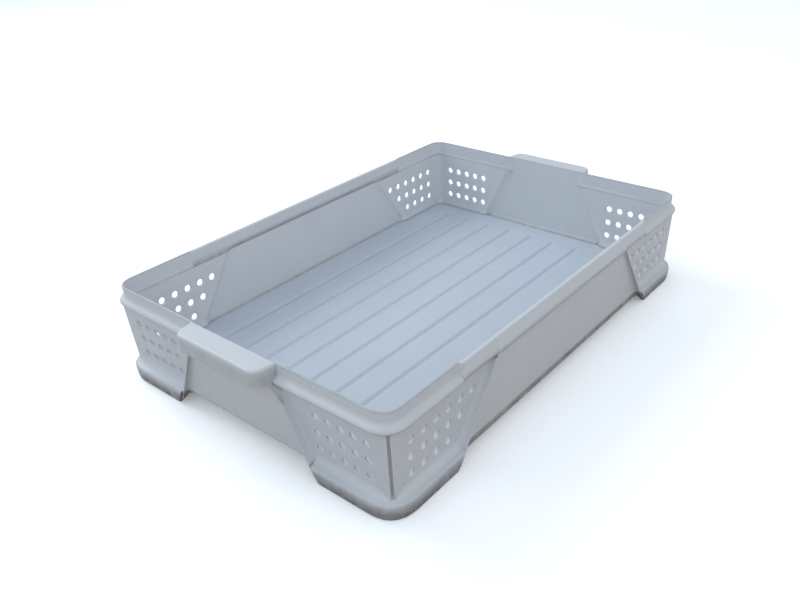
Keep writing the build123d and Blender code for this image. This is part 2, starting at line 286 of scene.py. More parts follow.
def linear(colour: str) -> tuple[float, float, float, float]:
    """Linear colour from an sRGB hex value such as #C3CEDA."""
    shares = [int(colour[k:k + 2], 16) / 255.0 for k in (1, 3, 5)]
    return (*[s / 12.92 if s <= 0.04045 else ((s + 0.055) / 1.055) ** 2.4 for s in shares], 1.0)


def add_node(tree: bpy.types.NodeTree, kind: str, settings: dict[str | int, object] | None = None,
             links: dict[str | int, bpy.types.NodeSocket] | None = None) -> bpy.types.Node:
    """Add a node to a shader.

    Args:
        tree: The shader's nodes.
        kind: Node type.
        settings: Properties, and input values by socket name or number.
        links: Sockets to link from, by the new node's input.

    Returns:
        The node.
    """
    node = tree.nodes.new(kind)
    for key, value in (settings or {}).items():
        if isinstance(key, str) and hasattr(node, key):
            setattr(node, key, value)
        else:
            node.inputs[key].default_value = value
    for key, socket in (links or {}).items():
        tree.links.new(socket, node.inputs[key])
    return node


@dataclass(frozen=True)
class SoilAndShadeBand:
    """Band of heights darkened by painted shade, by soil or by rubbing: colour, greatest share, and where in
    millimetres it is full and gone.
    """

    colour: str
    share: float
    full_mm: float
    gone_mm: float


@dataclass(frozen=True)
class PolyethyleneFinish:
    """High-density polyethylene, injection moulded in a satin mould.

    The eye sees a milky white with a soft, broad sheen, faint clouding from the flow in the mould, a very
    fine even tooth, and patchy darker bands at certain heights: painted shade near the ground, under the
    lips and rims, in the floor's grooves and down the handles' lips, with some soil near the ground and
    rubbing at the collars' top. Painted shade from ambient occlusion darkens the creases.
    """

    name: str
    colour: str = "#D3D5D8"
    cloud: str = "#CBCDD1"
    bands: Sequence[SoilAndShadeBand] = ()
    # Painted shade: the colour that the creases darken towards.
    crease_shade_colour: str = "#5F5D5C"
    crease_share: float = 0.28
    crease_mm: float = 6.0
    roughness: float = 0.46
    cloud_mm: float = 60.0
    patch_mm: float = 11.0
    tooth_mm: float = 1.6  # drawn coarser than the mould's own grain, which is too fine to see
    tooth_depth_mm: float = 0.2
    tooth_strength: float = 0.06
    patch_levels: tuple[float, float] = (0.25, 0.7)
    patch_least: float = 0.55  # share of each band's darkening that the faintest patches keep
    crease_levels: tuple[float, float] = (0.9, 0.3)
    gloss_levels: tuple[float, float] = (0.3, 0.7)
    gloss_spread: tuple[float, float] = (-0.05, 0.08)
    ior: float = 1.54

    def build(self) -> bpy.types.Material:
        """Make the material."""
        material = bpy.data.materials.new(self.name)
        material.use_nodes = True
        tree = material.node_tree
        tree.nodes.clear()
        place = add_node(tree, "ShaderNodeTexCoord").outputs["Object"]
        clouds = add_node(
            tree, "ShaderNodeTexNoise",
            {"Scale": 1.0 / (self.cloud_mm * MM), "Detail": 3.0}, {"Vector": place})
        patches = add_node(
            tree, "ShaderNodeTexNoise",
            {"Scale": 1.0 / (self.patch_mm * MM), "Detail": 5.0, "Roughness": 0.62}, {"Vector": place})
        tooth = add_node(
            tree, "ShaderNodeTexNoise",
            {"Scale": 1.0 / (self.tooth_mm * MM), "Detail": 2.0}, {"Vector": place})
        base = add_node(
            tree, "ShaderNodeMix", {"data_type": "RGBA", 6: linear(self.colour), 7: linear(self.cloud)},
            {0: clouds.outputs["Fac"]})
        height = add_node(tree, "ShaderNodeSeparateXYZ", links={"Vector": place})
        shaded_and_worn = base
        faintest_patch, darkest_patch = self.patch_levels
        # Each band darkens by height, patchy with the noise: painted shade in most bands, soil and rubbing in
        # some.
        for band in self.bands:
            level = add_node(
                tree, "ShaderNodeMapRange",
                {"interpolation_type": "SMOOTHSTEP",
                 1: band.gone_mm * MM, 2: band.full_mm * MM, 3: 0.0, 4: 1.0},
                {0: height.outputs["Z"]})
            patchy = add_node(
                tree, "ShaderNodeMapRange",
                {1: faintest_patch, 2: darkest_patch, 3: self.patch_least * band.share, 4: band.share},
                {0: patches.outputs["Fac"]})
            shade_and_soil = add_node(
                tree, "ShaderNodeMath", {"operation": "MULTIPLY"},
                {0: level.outputs[0], 1: patchy.outputs[0]})
            shaded_and_worn = add_node(
                tree, "ShaderNodeMix", {"data_type": "RGBA", 7: linear(band.colour)},
                {0: shade_and_soil.outputs[0], 6: shaded_and_worn.outputs[2]})
        # Painted shade: ambient occlusion darkens the creases towards the crease colour.
        open_sky = add_node(
            tree, "ShaderNodeAmbientOcclusion", {"samples": 8, "Distance": self.crease_mm * MM})
        clear, closed = self.crease_levels
        painted_crease_shade = add_node(
            tree, "ShaderNodeMapRange", {1: clear, 2: closed, 3: 0.0, 4: self.crease_share},
            {0: open_sky.outputs["AO"]})
        shaded_and_worn = add_node(
            tree, "ShaderNodeMix", {"data_type": "RGBA", 7: linear(self.crease_shade_colour)},
            {0: painted_crease_shade.outputs[0], 6: shaded_and_worn.outputs[2]})
        least, most = self.gloss_levels
        glossier, duller = self.gloss_spread
        gloss = add_node(
            tree, "ShaderNodeMapRange",
            {1: least, 2: most, 3: self.roughness + glossier, 4: self.roughness + duller},
            {0: patches.outputs["Fac"]})
        bump = add_node(
            tree, "ShaderNodeBump", {"Strength": self.tooth_strength, "Distance": self.tooth_depth_mm * MM},
            {"Height": tooth.outputs["Fac"]})
        shader = add_node(
            tree, "ShaderNodeBsdfPrincipled", {"IOR": self.ior},
            {"Base Color": shaded_and_worn.outputs[2], "Roughness": gloss.outputs[0], "Normal": bump.outputs["Normal"]})
        add_node(tree, "ShaderNodeOutputMaterial", links={"Surface": shader.outputs["BSDF"]})
        return material


@dataclass
class Floor:
    """Flat floor with narrow grooves along it."""

    inset: float = 12.5
    grooves: int = 9
    pitch: float = 36.6
    groove_half: float = 246.0
    groove_width: float = 8.0
    groove_depth: float = 1.5
    bed_width: float = 2.0
    bed_round: float = 0.8
    brink_round: float = 1.4
    run_out: Sequence[tuple[float, float]] = ((0.0, 0.0), (0.9, 0.6), (2.1, 1.0))  # along, share of the depth

    def build(self, material: bpy.types.Material) -> None:
        """Sweep the grooved section along the crate and let the grooves run out at their ends."""
        mould = Mould()
        top, bottom = SIZES.floor_top, SIZES.floor_underside
        half = SIZES.half_width - self.inset
        edge = SIZES.half_length - self.inset
        corners = [Corner(-half, bottom), Corner(half, bottom), Corner(half, top)]
        for k in reversed(range(self.grooves)):
            middle = (k - (self.grooves - 1) / 2) * self.pitch
            corners += [
                Corner(middle + self.groove_width / 2, top, self.brink_round, 4),
                Corner(middle + self.bed_width / 2, top - self.groove_depth, self.bed_round, 3),
                Corner(middle - self.bed_width / 2, top - self.groove_depth, self.bed_round, 3),
                Corner(middle - self.groove_width / 2, top, self.brink_round, 4)]
        corners.append(Corner(-half, top))
        stations = [-edge]
        stations += [-self.groove_half + along for along, _ in self.run_out]
        stations += [self.groove_half - along for along, _ in reversed(self.run_out)]
        stations.append(edge)
        fading = [share for _, share in self.run_out]
        shares = [0.0, *fading, *reversed(fading), 0.0]
        face = mould.section(corners, lambda across, up: Vector((stations[0], across, up)))
        loop = list(face.edges)
        rings = [{vert: top - vert.co.z for vert in face.verts if vert.co.z > bottom + MERGE}]
        for before, after in zip(stations, stations[1:]):
            loop = mould.extrude(loop, (after - before, 0.0, 0.0))
            rings.append({vert: top - vert.co.z for vert in verts_of(loop) if vert.co.z > bottom + MERGE})
        for ring, share in zip(rings, shares):
            for vert, depth in ring.items():
                vert.co.z = top - depth * share
        mould.cap(loop)
        mould.tidy()
        mould.turn_out("grooved_floor", material, ["floor"])


@dataclass
class SideWalls:
    """Plain walls along the two long sides, with a skirt below the floor."""

    fillet: float = 3.0
    edge_round: float = 0.6
    inner_round: float = 0.6
    under_round: float = 1.0
    strip: float = 9.0  # how far in the strip to the floor reaches
    tuck: float = 0.5

    def build(self, material: bpy.types.Material) -> None:
        """Sweep the wall's section along the crate, its ends slanted beside the corner panels."""
        mould = Mould()
        floor, top, low = SIZES.floor_top, SIZES.flange_bottom, SIZES.side_bottom
        under = SIZES.floor_underside
        corners = [
            Corner(SIZES.side_face(low) - SIZES.wall, low, self.inner_round, 2),
            Corner(SIZES.side_face(low), low, self.edge_round),
            Corner(SIZES.side_face(top), top), Corner(SIZES.side_face(top) - SIZES.wall, top),
            Corner(SIZES.side_face(floor) - SIZES.wall, floor, self.fillet, 6),
            Corner(SIZES.side_face(floor) - self.strip, floor - self.tuck),
            Corner(SIZES.side_face(floor) - self.strip, under + self.tuck),
            Corner(SIZES.side_face(under) - SIZES.wall, under, self.under_round, 2)]
        face = mould.section(corners, lambda across, up: Vector((-1.0, across, up)))
        loop = mould.extrude(face.edges, (2.0, 0.0, 0.0))
        mould.cap(loop)
        for vert in mould.bm.verts:
            vert.co.x *= SIZES.side_edge(vert.co.z) - SIZES.side_wall_end
        mould.tidy()
        for row in Row:
            name = row.name.lower()
            mould.turn_out(f"plain_side_wall_{name}", material, [f"side_wall_{name}"], row=row)


@dataclass
class EndWalls:
    """Plain walls across the two short ends, up to the handles."""

    fillet: float = 5.0
    under_round: float = 5.5
    top: float = 112.5
    strip: float = 12.0
    tuck: float = 0.5

    def build(self, material: bpy.types.Material) -> None:
        """Sweep the wall's section across the crate, its ends slanted beside the corner panels."""
        mould = Mould()
        floor, under, bend = SIZES.floor_top, SIZES.floor_underside, SIZES.flange_bottom
        corners = [
            Corner(SIZES.end_face(floor) - self.strip, under + self.tuck),
            Corner(SIZES.end_face(under), under, self.under_round, 6),
            Corner(SIZES.end_face(bend), bend), Corner(SIZES.end_face(self.top), self.top),
            Corner(SIZES.end_face(self.top) - SIZES.wall, self.top),
            Corner(SIZES.end_face(bend) - SIZES.wall, bend),
            Corner(SIZES.end_face(floor) - SIZES.wall, floor, self.fillet, 6),
            Corner(SIZES.end_face(floor) - self.strip, floor - self.tuck)]
        face = mould.section(corners, lambda across, up: Vector((across, -1.0, up)))
        loop = mould.extrude(face.edges, (0.0, 2.0, 0.0))
        mould.cap(loop)
        for vert in mould.bm.verts:
            vert.co.y *= SIZES.end_edge(min(vert.co.z, bend)) - SIZES.end_wall_end
        for side in (-1.0, 1.0):
            across = [v for v in mould.bm.verts if abs(v.co.z - bend) < MERGE and v.co.y * side > 0.0]
            bmesh.ops.connect_verts(mould.bm, verts=across)
        mould.tidy()
        for hand in Hand:
            name = hand.name.lower()
            mould.turn_out(f"plain_end_wall_{name}", material, [f"end_wall_{name}"], hand=hand)


@dataclass(frozen=True)
class Rib:
    """Slanted rib on the step beside a panel, in millimetres from the panel's edge towards the plain wall."""

    start: float
    crest_from: float
    crest_to: float
    end: float
    inner_end: float
    wall_end: float
    turns: int = 6
    crest_round: float = 0.5
    cove_share: float = 0.93  # of the crest's height, where the coves end and the crest's rounding starts
    shoulder: float = 0.35
    shoulder_share: float = 0.985

    def outer(self) -> list[tuple[float, float, float]]:
        """Outer side of the rib: a cove up to its crest and another down to the plain wall.

        Returns:
            Place, share of the crest's height and share of the wall's step, point by point.
        """
        cove = [TURN / 4 * k / self.turns for k in range(1, self.turns + 1)]
        heights = [self.cove_share * (1.0 - math.cos(turn)) for turn in cove]
        rise = [
            (self.start + (self.crest_from - self.start) * math.sin(turn), height, 0.0)
            for turn, height in zip(cove, heights)]
        fall = [
            (self.end - (self.end - self.crest_to) * math.sin(turn), height, 1.0)
            for turn, height in zip(cove, heights)]
        shoulder = self.shoulder * self.crest_round
        crest = [
            (self.crest_from + shoulder, self.shoulder_share, 0.0),
            (self.crest_from + self.crest_round, 1.0, 0.0),
            (self.crest_to - self.crest_round, 1.0, 0.0),
            (self.crest_to - shoulder, self.shoulder_share, 0.0)]
        return rise + crest + list(reversed(fall)) + [(self.end, 0.0, 1.0), (self.wall_end, 0.0, 1.0)]

    def inner(self) -> list[tuple[float, float, float]]:
        """Inner side of the step: crisp at the panel and soft at the wall.

        Returns:
            Points like those of the outer side, and as many.
        """
        count = len(self.outer()) - 1
        shares = [k / count for k in range(1, count + 1)]
        points = [(share * self.inner_end, 0.0, 1.0 - (1.0 - share) ** 2) for share in shares]
        return points + [(self.wall_end, 0.0, 1.0)]


@dataclass(frozen=True)
class PanelSheet:
    """One flat perforated panel, measured from the crate's outer corner along the wall."""

    width: float
    slant: float
    bottom: float
    step: float
    arch: float
    rib: Rib
    hole_first: float
    hole_pitch: float
    hole_rows: Sequence[tuple[float, int]]

    def edge(self, z: float) -> float:
        """Distance of the slanted edge from the corner at a height."""
        return self.width - self.slant * (SIZES.flange_bottom - z)

    def arch_drop(self, along: float) -> float:
        """How far the wall's lower edge curves down towards the foot, at a distance from the panel's edge."""
        reach = self.arch - min(self.arch, max(0.0, along - self.rib.crest_to))
        return self.arch - math.sqrt(self.arch ** 2 - reach ** 2)


@dataclass
class CornerPanels:
    """Perforated panels round the four corners, with the slanted steps beside them."""

    post: float = 14.0
    foot_run: float = 4.0
    foot_rise: float = 5.5
    hole_radius: float = 4.0
    hole_round: float = 1.2
    hole_steps: int = 24
    hole_levels: Sequence[float] = (72.5, 53.7, 34.9)
    side_holes: Sequence[int] = (6, 5, 4)
    side_hole_inset: float = 37.0
    side_hole_pitch: float = 17.4
    end_holes: Sequence[int] = (5, 5, 5)
    end_hole_inset: float = 35.5
    end_hole_pitch: float = 15.3
    side_arch: float = 4.0
    end_arch: float = 8.0
    slot: Sequence[tuple[float, float]] = ((3.3, 0.0), (2.8, 0.12), (2.6, 0.5), (4.4, 2.3))
    post_steps: int = 7
    sink: float = 0.4  # how far the sloped strip inside reaches below the floor's top
    least_run: float = 0.2

    def sheets(self) -> tuple[PanelSheet, PanelSheet]:
        """Sheets along the side and along the end."""
        inset = SIZES.panel_inset
        side = PanelSheet(
            width=SIZES.half_length - inset - SIZES.side_slant_top, slant=SIZES.side_slant + SIZES.draft,
            bottom=SIZES.side_bottom, step=SIZES.side_step, arch=self.side_arch,
            rib=Rib(
                start=-2.6, crest_from=1.9, crest_to=4.4, end=11.5, inner_end=12.0,
                wall_end=SIZES.side_wall_end),
            hole_first=self.side_hole_inset - inset, hole_pitch=self.side_hole_pitch,
            hole_rows=tuple(zip(self.hole_levels, self.side_holes)))
        end = PanelSheet(
            width=SIZES.half_width - inset - SIZES.end_slant_top, slant=SIZES.end_slant + SIZES.draft,
            bottom=SIZES.floor_underside, step=SIZES.end_step, arch=self.end_arch,
            rib=Rib(
                start=-4.0, crest_from=-0.6, crest_to=1.7, end=5.6, inner_end=7.0,
                wall_end=SIZES.end_wall_end),
            hole_first=self.end_hole_inset - inset, hole_pitch=self.end_hole_pitch,
            hole_rows=tuple(zip(self.hole_levels, self.end_holes)))
        return side, end

    def drill(self, mould: Mould, along: float, z: float) -> None:
        """Hole with rounded rims, spun about its own axis."""
        r, soft, wall = self.hole_radius, self.hole_round, SIZES.wall
        half = soft * (1.0 - math.sqrt(0.5))
        profile = [
            (r + soft, 0.0), (r + half, half), (r, soft),
            (r, wall - soft), (r + half, wall - half), (r + soft, wall)]
        edges = mould.chain((along + out, deep, z) for out, deep in profile)
        bmesh.ops.spin(
            mould.bm, geom=edges + verts_of(edges), cent=(along, 0.0, z), axis=(0.0, 1.0, 0.0),
            dvec=(0.0, 0.0, 0.0), angle=TURN, steps=self.hole_steps, use_merge=True)

    def sheet_mesh(self, sheet: PanelSheet) -> Mould:
        """Panel with its holes and its step, lying along its own wall.

        Args:
            sheet: The panel's sizes.

        Returns:
            Mould whose first axis runs from the corner along the wall, the second inwards and the third up.
        """
        mould = Mould()
        top, lean = SIZES.flange_bottom, SIZES.draft
        for z, count in sheet.hole_rows:
            for k in range(count):
                self.drill(mould, sheet.hole_first + sheet.hole_pitch * k - lean * (top - z), z)
        ledge = SIZES.floor_top + self.foot_rise
        outer = (0.0, sheet.bottom, SIZES.side_bottom, sheet.rib.start, sheet.rib.outer())
        inner = (SIZES.wall, ledge, ledge, 0.0, sheet.rib.inner())
        for depth, low, low_at_post, start, profile in (outer, inner):
            rims = [
                edge for edge in mould.bm.edges
                if edge.is_boundary and all(abs(vert.co.y - depth) < MERGE for vert in edge.verts)]
            outline = mould.chain((
                (self.post, depth, top), (self.post, depth, low_at_post),
                (sheet.edge(low) + start, depth, low), (sheet.edge(top) + start, depth, top)))
            outline.append(mould.bm.edges.new((outline[-1].verts[1], outline[0].verts[0])))
            slanted = outline[2]
            bmesh.ops.triangle_fill(mould.bm, use_beauty=True, edges=rims + outline, normal=(0.0, -1.0, 0.0))
            strip = [slanted]
            for along, crest, wall in profile:
                strip = mould.extrude(strip)
                for vert in verts_of(strip):
                    level = low if vert.co.z < (low + top) / 2 else top
                    height = SIZES.inset(level) - SIZES.rib_inset
                    base = wall * sheet.step
                    vert.co.x = sheet.edge(level) + along
                    vert.co.y = depth - base - crest * (height - base)
                    if profile is outer[-1] and level == low:
                        vert.co.z = low - sheet.arch_drop(along)
        return mould

    def post_mesh(self, mould: Mould) -> None:
        """Corner post between the two panels: round inside, with a slot up its outer corner."""
        top, ledge = SIZES.flange_bottom, SIZES.floor_top + self.foot_rise
        radius, wall = SIZES.panel_corner, SIZES.wall
        half = [(self.post, 0.0), *self.slot]
        outer = half + [(deep, along) for along, deep in reversed(half)]
        low = SIZES.side_bottom
        edges = mould.chain((along, deep, low) for along, deep in outer)
        mould.extrude(edges, (0.0, 0.0, top - low))
        mould.chain([(self.post, wall, ledge), (wall + radius, wall, ledge)])
        mould.chain([(wall, wall + radius, ledge), (wall, self.post, ledge)])
        swing = mould.bm.verts.new((wall + radius, wall, ledge))
        bmesh.ops.spin(
            mould.bm, geom=[swing], cent=(wall + radius, wall + radius, ledge), axis=(0.0, 0.0, 1.0),
            dvec=(0.0, 0.0, 0.0), angle=-TURN / 4, steps=self.post_steps, use_merge=False)
        bmesh.ops.remove_doubles(mould.bm, verts=mould.bm.verts, dist=MERGE)
        inner = [edge for edge in mould.bm.edges if edge.is_wire]
        mould.extrude(inner, (0.0, 0.0, top - ledge))

    def build(self, material: bpy.types.Material) -> None:
        """Join both sheets and the post, close them and lean them out."""
        side, end = self.sheets()
        mould = Mould()
        self.post_mesh(mould)
        for sheet, swap in ((side, False), (end, True)):
            part = self.sheet_mesh(sheet)
            if swap:
                swapped = Matrix(((0, 1, 0, 0), (1, 0, 0, 0), (0, 0, 1, 0), (0, 0, 0, 1)))
                bmesh.ops.transform(part.bm, matrix=swapped, verts=part.bm.verts)
            mesh = bpy.data.meshes.new("panel_sheet")
            part.bm.to_mesh(mesh)
            part.bm.free()
            mould.bm.from_mesh(mesh)
            bpy.data.meshes.remove(mesh)
        bmesh.ops.remove_doubles(mould.bm, verts=mould.bm.verts, dist=MERGE)
        self.skirting(mould)
        rim = [edge for edge in mould.bm.edges if edge.is_boundary]
        bmesh.ops.bridge_loops(mould.bm, edges=rim)
        top, lean = SIZES.flange_bottom, SIZES.draft
        corner = Vector((SIZES.half_length - SIZES.panel_inset, SIZES.half_width - SIZES.panel_inset))
        leaning = Matrix((
            (-1.0, 0.0, lean, corner.x - lean * top), (0.0, -1.0, lean, corner.y - lean * top),
            (0.0, 0.0, 1.0, 0.0), (0.0, 0.0, 0.0, 1.0)))
        bmesh.ops.transform(mould.bm, matrix=leaning, verts=mould.bm.verts)
        mould.tidy()
        mould.turn_out_corners("perforated_corner", material, ["side_panel", "end_panel"])

    def skirting(self, mould: Mould) -> None:
        """Sloped strip from the lower edge of the panels inside down to the floor."""
        ledge = SIZES.floor_top + self.foot_rise
        lower = [
            edge for edge in mould.bm.edges
            if edge.is_boundary and all(abs(vert.co.z - ledge) < MERGE for vert in edge.verts)]
        strip = verts_of(mould.extrude(lower, (0.0, 0.0, -self.foot_rise - self.sink)))
        side, end = self.sheets()
        for vert in strip:
            along, deep = vert.co.x, vert.co.y
            if deep < self.post + MERGE and along > self.post - MERGE:
                past = max(0.0, along - side.edge(ledge)) / side.rib.inner_end
                vert.co.y += self.foot_run * max(self.least_run, 1.0 - past)
            elif along < self.post + MERGE and deep > self.post - MERGE:
                past = max(0.0, deep - end.edge(ledge)) / end.rib.inner_end
                vert.co.x += self.foot_run * max(self.least_run, 1.0 - past)
            else:
                vert.co.x += self.foot_run
                vert.co.y += self.foot_run


@dataclass
class Feet:
    """Hollow feet round the four corners, with a cove up to the panels."""

    face_bottom: float = 9.0
    face_top: float = 18.0
    cove_top: float = 28.0
    cove_round: float = 8.4
    cove_lift: float = 0.6
    brow_round: float = 3.2
    cheek_round: float = 4.0
    sole_round: float = 1.6
    hollow_round: float = 0.6
    taper: float = 1.2
    tuck: float = 2.0  # how far the foot reaches in behind the panels
    overlap: float = 1.5
    hollow: float = 6.5
    side_end: float = 4.4
    end_end: float = 1.7
    steps: int = 14
    fill_low: float = 2.0
    fill_high: float = 5.0

    def fill(self, z: float) -> float:
        """How far the foot's corner is pushed out at a height, more where the cove wraps the panels."""
        share = (z - self.face_top) / (self.cove_top - self.face_top)
        return self.fill_low + (self.fill_high - self.fill_low) * min(1.0, max(0.0, share))

    def build(self, material: bpy.types.Material) -> None:
        """Turn the foot's section round the corner and slant its two ends."""
        mould = Mould()
        run = SIZES.inset(self.cove_top)
        back, top = run + self.tuck, self.cove_top + self.overlap
        corners = [
            Corner(back, top), Corner(run, top),
            Corner(run, self.face_top + self.cove_lift, self.cove_round, 8),
            Corner(0.0, self.face_top, self.brow_round, 6),
            Corner(0.0, self.face_bottom, self.cheek_round, 4),
            Corner(self.taper, 0.0, self.sole_round, 4), Corner(self.hollow, 0.0, self.hollow_round, 2),
            Corner(self.hollow, SIZES.floor_underside), Corner(back, SIZES.floor_underside)]
        start = SIZES.half_length - SIZES.plan_radius
        face = mould.section(corners, lambda inset, up: Vector((start, SIZES.half_width - inset, up)))
        loop = list(face.edges)
        far = mould.turn(loop, SIZES.corner_centre, -TURN / 4, self.steps)
        bmesh.ops.delete(mould.bm, geom=[face], context="FACES_ONLY")
        near_end = mould.extrude(loop)
        for vert in verts_of(near_end):
            vert.co.x = SIZES.side_edge(vert.co.z) - self.side_end
        far_end = mould.extrude(far)
        for vert in verts_of(far_end):
            vert.co.y = SIZES.end_edge(vert.co.z) - self.end_end
        mould.cap(near_end)
        mould.cap(far_end)
        mould.tidy()
        fill_corner(mould.bm.verts, self.fill)
        mould.turn_out_corners("corner_foot", material, ["foot"])


@dataclass(frozen=True)
class CollarProfile:
    """Section through a collar and the shelf outside it."""

    slope: float = 1.2  # the shelf lies this much lower outside and higher at the collar
    lip_round: float = 2.2
    shelf_round: float = 3.0
    top_round: float = 1.0
    ledge_round: float = 1.6

    def corners(self) -> list[Corner]:
        """Corners from the outer lower edge round to the panel.

        Returns:
            The corners, by inset and height.
        """
        low, shelf, high = SIZES.flange_bottom, SIZES.flange_top, SIZES.height
        lip, outer, inner = SIZES.flange_inset, SIZES.collar_inset, SIZES.collar_inner
        return [
            Corner(lip, low, self.lip_round, 4), Corner(lip, shelf - self.slope, self.shelf_round, 5),
            Corner(outer, shelf + self.slope, self.shelf_round, 4), Corner(outer, high, self.top_round, 4),
            Corner(inner, high, self.top_round, 4), Corner(inner, SIZES.ledge_top, self.ledge_round, 3),
            Corner(SIZES.panel_inset + SIZES.wall, low)]


COLLAR = CollarProfile()


@dataclass
class CornerRims:
    """Shelf and upright collar round the four corners."""

    steps: int = 16
    fill: float = 3.0
    neck: float = 51.5
    neck_top: float = 113.4
    neck_bend: float = 2.0
    neck_lean: float = 0.2
    neck_round: float = 0.2
    neck_top_round: float = 0.3
    neck_sink: float = 0.1
    neck_share: float = 0.7  # of the wall's thickness

    def neck_section(self) -> list[Corner]:
        """Section where the collar runs into the end wall under the handle.

        Returns:
            As many corners as the collar has.
        """
        low, shelf, high, soft = SIZES.flange_bottom, SIZES.flange_top, self.neck_top, self.neck_round
        inner = SIZES.panel_inset - SIZES.end_step + SIZES.wall - self.neck_sink
        outer = inner - self.neck_share * SIZES.wall
        rise = SIZES.draft * (high - low)
        return [
            Corner(outer, low, soft, 4), Corner(outer, shelf, soft, 5),
            Corner(outer - self.neck_lean / 2, shelf + self.neck_bend, soft, 4),
            Corner(outer - self.neck_lean, high, self.neck_top_round, 4),
            Corner(inner - rise, high, self.neck_top_round, 4),
            Corner(inner - self.neck_lean, SIZES.ledge_top, soft, 3), Corner(inner, low)]

    def build(self, material: bpy.types.Material) -> None:
        """Sweep the collar's section from the side rim round the corner and on into the end wall."""
        mould = Mould()
        centre = SIZES.corner_centre
        face = mould.section(
            COLLAR.corners(), lambda inset, up: Vector((SIZES.collar_end, SIZES.half_width - inset, up)))
        loop = mould.extrude(face.edges, (centre.x - SIZES.collar_end, 0.0, 0.0))
        loop = mould.turn(loop, centre, -TURN / 4, self.steps)
        loop = mould.extrude(loop, (0.0, SIZES.end_slant_top - centre.y, 0.0))
        end = mould.section(
            self.neck_section(), lambda inset, up: Vector((SIZES.half_length - inset, self.neck, up)))
        bmesh.ops.bridge_loops(mould.bm, edges=loop + list(end.edges))
        mould.tidy()
        foot = self.meet_panels(mould)
        fill_corner((vert for vert in mould.bm.verts if vert not in foot), lambda z: self.fill)
        mould.turn_out_corners("corner_collar", material, ["flange", "collar"])

    def meet_panels(self, mould: Mould) -> set[BMVert]:
        """Draw the ledge's lower edge out at the corner, where the panels turn more tightly.

        Args:
            mould: The collar's mesh.

        Returns:
            The vertices of that edge.
        """
        moved: set[BMVert] = set()
        centre = SIZES.corner_centre
        reach = SIZES.plan_radius - SIZES.panel_inset - SIZES.wall
        tight = reach - SIZES.panel_corner
        for vert in mould.bm.verts:
            ray = (vert.co - centre).xy
            if abs(vert.co.z - SIZES.flange_bottom) > MERGE or ray.length > reach + 0.01 or min(ray) < MERGE:
                continue
            ray.normalize()
            point = ray * (reach / max(ray))
            if min(point) > tight:
                middle = tight * (ray.x + ray.y)
                point = ray * (middle + math.sqrt(middle ** 2 - 2 * tight ** 2 + SIZES.panel_corner ** 2))
            vert.co.xy = centre.xy + point
            moved.add(vert)
        return moved


@dataclass
class SideRims:
    """Rims along the middle of the two long sides: a broad roll, a little lower than the collars."""

    inner: float = 10.0
    outer: float = 5.6
    belly: float = 101.6
    drop: float = 1.2
    ramp: float = 10.0
    nose: float = 3.2
    nose_share: float = 0.72
    crease: float = 1.3
    crease_from: float = 1.3  # past the panel's slanted edge
    crease_to: float = 2.6
    foot_from: float = 0.4  # how far the ledge's foot has come out at those two places
    foot_to: float = 1.0
    lip_round: float = 5.4
    belly_round: float = 2.4
    lean_round: float = 1.0
    top_round: float = 1.4

    def rim_section(self, proud: float, foot: float) -> list[Corner]:
        """Section through the rim, with as many corners as the collar's.

        Args:
            proud: How far its outer face stands out.
            foot: Inset of the ledge's lower edge.

        Returns:
            The corners.
        """
        low, high = SIZES.flange_bottom, SIZES.height - self.drop
        lip = SIZES.flange_inset - proud
        return [
            Corner(lip, low, self.lip_round, 4), Corner(lip, self.belly, self.belly_round, 5),
            Corner((lip + self.outer) / 2, (self.belly + high) / 2, self.lean_round, 4),
            Corner(self.outer, high, self.top_round, 4), Corner(self.inner, high, self.top_round, 4),
            Corner(self.inner, SIZES.ledge_top, COLLAR.ledge_round, 3), Corner(foot, low)]

    def nose_section(self, foot: float) -> list[Corner]:
        """Section at the roll's blunt end, part of the way from the collar's to the rim's.

        Args:
            foot: Inset of the ledge's lower edge.

        Returns:
            The corners.
        """
        corners: list[Corner] = []
        for collar, rim in zip(COLLAR.corners(), self.rim_section(0.0, foot)):
            pairs = ((collar.across, rim.across), (collar.up, rim.up), (collar.reach, rim.reach))
            across, up, reach = (start + self.nose_share * (end - start) for start, end in pairs)
            corners.append(Corner(across, up, reach, collar.steps))
        return corners

    def build(self, material: bpy.types.Material) -> None:
        """Bridge the sections from one collar along the rim to the other."""
        mould = Mould()
        panel_foot = SIZES.panel_inset + SIZES.wall
        wall_foot = panel_foot - SIZES.side_step
        full = SIZES.collar_end - self.ramp
        stations = [
            (COLLAR.corners(), lambda z: SIZES.collar_end),
            (self.nose_section(panel_foot), lambda z: SIZES.collar_end - self.nose),
            (self.rim_section(0.0, panel_foot), lambda z: full),
            (self.rim_section(0.0, panel_foot), SIZES.side_edge),
            (self.rim_section(0.0, panel_foot - self.foot_from),
             lambda z: SIZES.side_edge(z) - self.crease_from),
            (self.rim_section(self.crease, panel_foot - self.foot_to),
             lambda z: SIZES.side_edge(z) - self.crease_to),
            (self.rim_section(self.crease, wall_foot), lambda z: SIZES.side_edge(z) - SIZES.side_run)]
        stations += [(corners, lambda z, at=at: -at(z)) for corners, at in reversed(stations)]
        faces: list[BMFace] = []
        for corners, at in stations:
            face = mould.section(corners, lambda inset, up: Vector((at(up), SIZES.half_width - inset, up)))
            for vert in face.verts:
                vert.co.x = at(vert.co.z)
            faces.append(face)
        mould.loft(faces)
        mould.tidy()
        for row in Row:
            name = row.name.lower()
            mould.turn_out(f"side_rim_band_{name}", material, [f"side_rim_{name}"], row=row)


